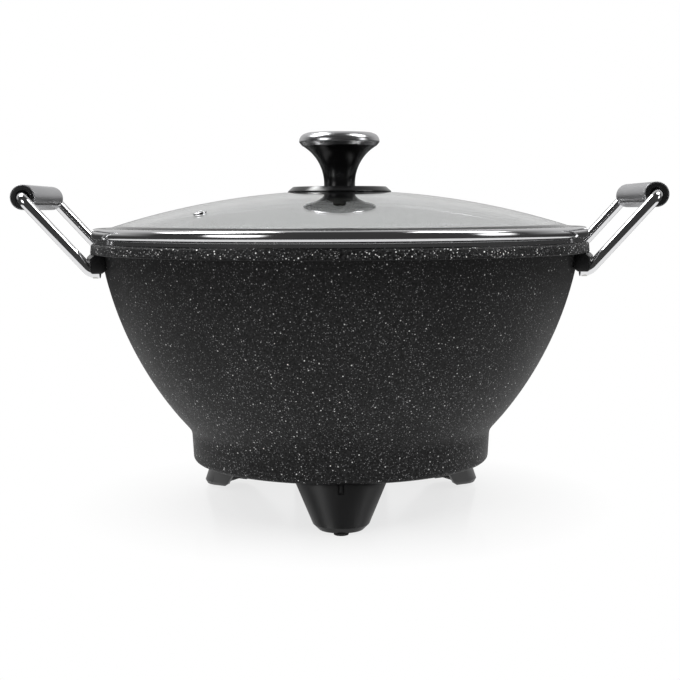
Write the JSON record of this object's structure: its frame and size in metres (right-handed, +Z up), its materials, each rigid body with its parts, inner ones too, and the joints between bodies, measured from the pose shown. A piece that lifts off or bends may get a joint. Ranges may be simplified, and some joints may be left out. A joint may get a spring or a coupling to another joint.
{
  "type": "electric wok",
  "caption": "Countertop electric wok: coated cast bowl on moulded feet, rod handles with sleeved grips, connector socket at the back and a lift-off glass lid with steel ring and knob.",
  "frame": {"origin": "on the table, below the centre of the bowl", "axes": "+X towards the right handle seen from the front, +Y towards the back with the connector socket, +Z up"},
  "size_m": [0.4098, 0.3216, 0.2407],
  "materials": {
    "wok_bowl": "stone-look non-stick coating with pale speckles",
    "heating_element": "satin steel sheath",
    "bottom_cover": "matte black paint on steel sheet",
    "cover_screw": "zinc-plated",
    "sensor_block": "plain",
    "socket_housing": "heat-proof moulding, satin",
    "housing_screws": "zinc-plated",
    "terminal_pins": "nickel-plated",
    "terminal_insulators": "unglazed",
    "earth_spring": "spring strip",
    "foot_front": "satin",
    "foot_rear_right": "satin",
    "foot_rear_left": "satin",
    "foot_screws": "zinc-plated",
    "foot_pad_front": "matte",
    "foot_pad_rear_right": "matte",
    "foot_pad_rear_left": "matte",
    "handle_lug_right_rear": "satin",
    "handle_lug_right_front": "satin",
    "handle_lug_left_rear": "satin",
    "handle_lug_left_front": "satin",
    "handle_rod_right": "polished",
    "handle_rod_left": "polished",
    "grip_core_right": "satin",
    "grip_core_left": "satin",
    "grip_sleeve_right": "satin",
    "grip_sleeve_left": "satin",
    "handle_bolts": "plain",
    "handle_screws": "plain",
    "lid_glass": "clear, tempered",
    "lid_ring": "polished",
    "steam_vent": "polished",
    "knob_disc": "satin",
    "knob_body": "satin gloss",
    "knob_insert": "plain",
    "knob_cap": "satin",
    "knob_gasket": "silicone",
    "knob_washer": "plain",
    "knob_screw": "plain"
  },
  "bodies": {
    "cooker": {"wok_bowl": "wok_bowl", "heating_element": "heating_element", "bottom_cover": "bottom_cover", "cover_screw": "cover_screw", "sensor_block": "sensor_block", "socket_housing": "socket_housing", "housing_screws": "housing_screws", "terminal_pins": "terminal_pins", "terminal_insulators": "terminal_insulators", "earth_spring": "earth_spring", "foot_front": "foot_front", "foot_rear_right": "foot_rear_right", "foot_rear_left": "foot_rear_left", "foot_screws": "foot_screws", "foot_pad_front": "foot_pad_front", "foot_pad_rear_right": "foot_pad_rear_right", "foot_pad_rear_left": "foot_pad_rear_left", "handle_lug_right_rear": "handle_lug_right_rear", "handle_lug_right_front": "handle_lug_right_front", "handle_lug_left_rear": "handle_lug_left_rear", "handle_lug_left_front": "handle_lug_left_front", "handle_rod_right": "handle_rod_right", "handle_rod_left": "handle_rod_left", "grip_core_right": "grip_core_right", "grip_core_left": "grip_core_left", "grip_sleeve_right": "grip_sleeve_right", "grip_sleeve_left": "grip_sleeve_left", "handle_bolts": "handle_bolts", "handle_screws": "handle_screws"},
    "lid": {"lid_glass": "lid_glass", "lid_ring": "lid_ring", "steam_vent": "steam_vent", "knob_disc": "knob_disc", "knob_body": "knob_body", "knob_insert": "knob_insert", "knob_cap": "knob_cap", "knob_gasket": "knob_gasket", "knob_washer": "knob_washer", "knob_screw": "knob_screw"}
  },
  "joints": [
    {"name": "lid_lift", "type": "slide", "parent": "cooker", "child": "lid", "axis": [0, 0, 1], "range_m": [0, 0.15]}
  ]
}
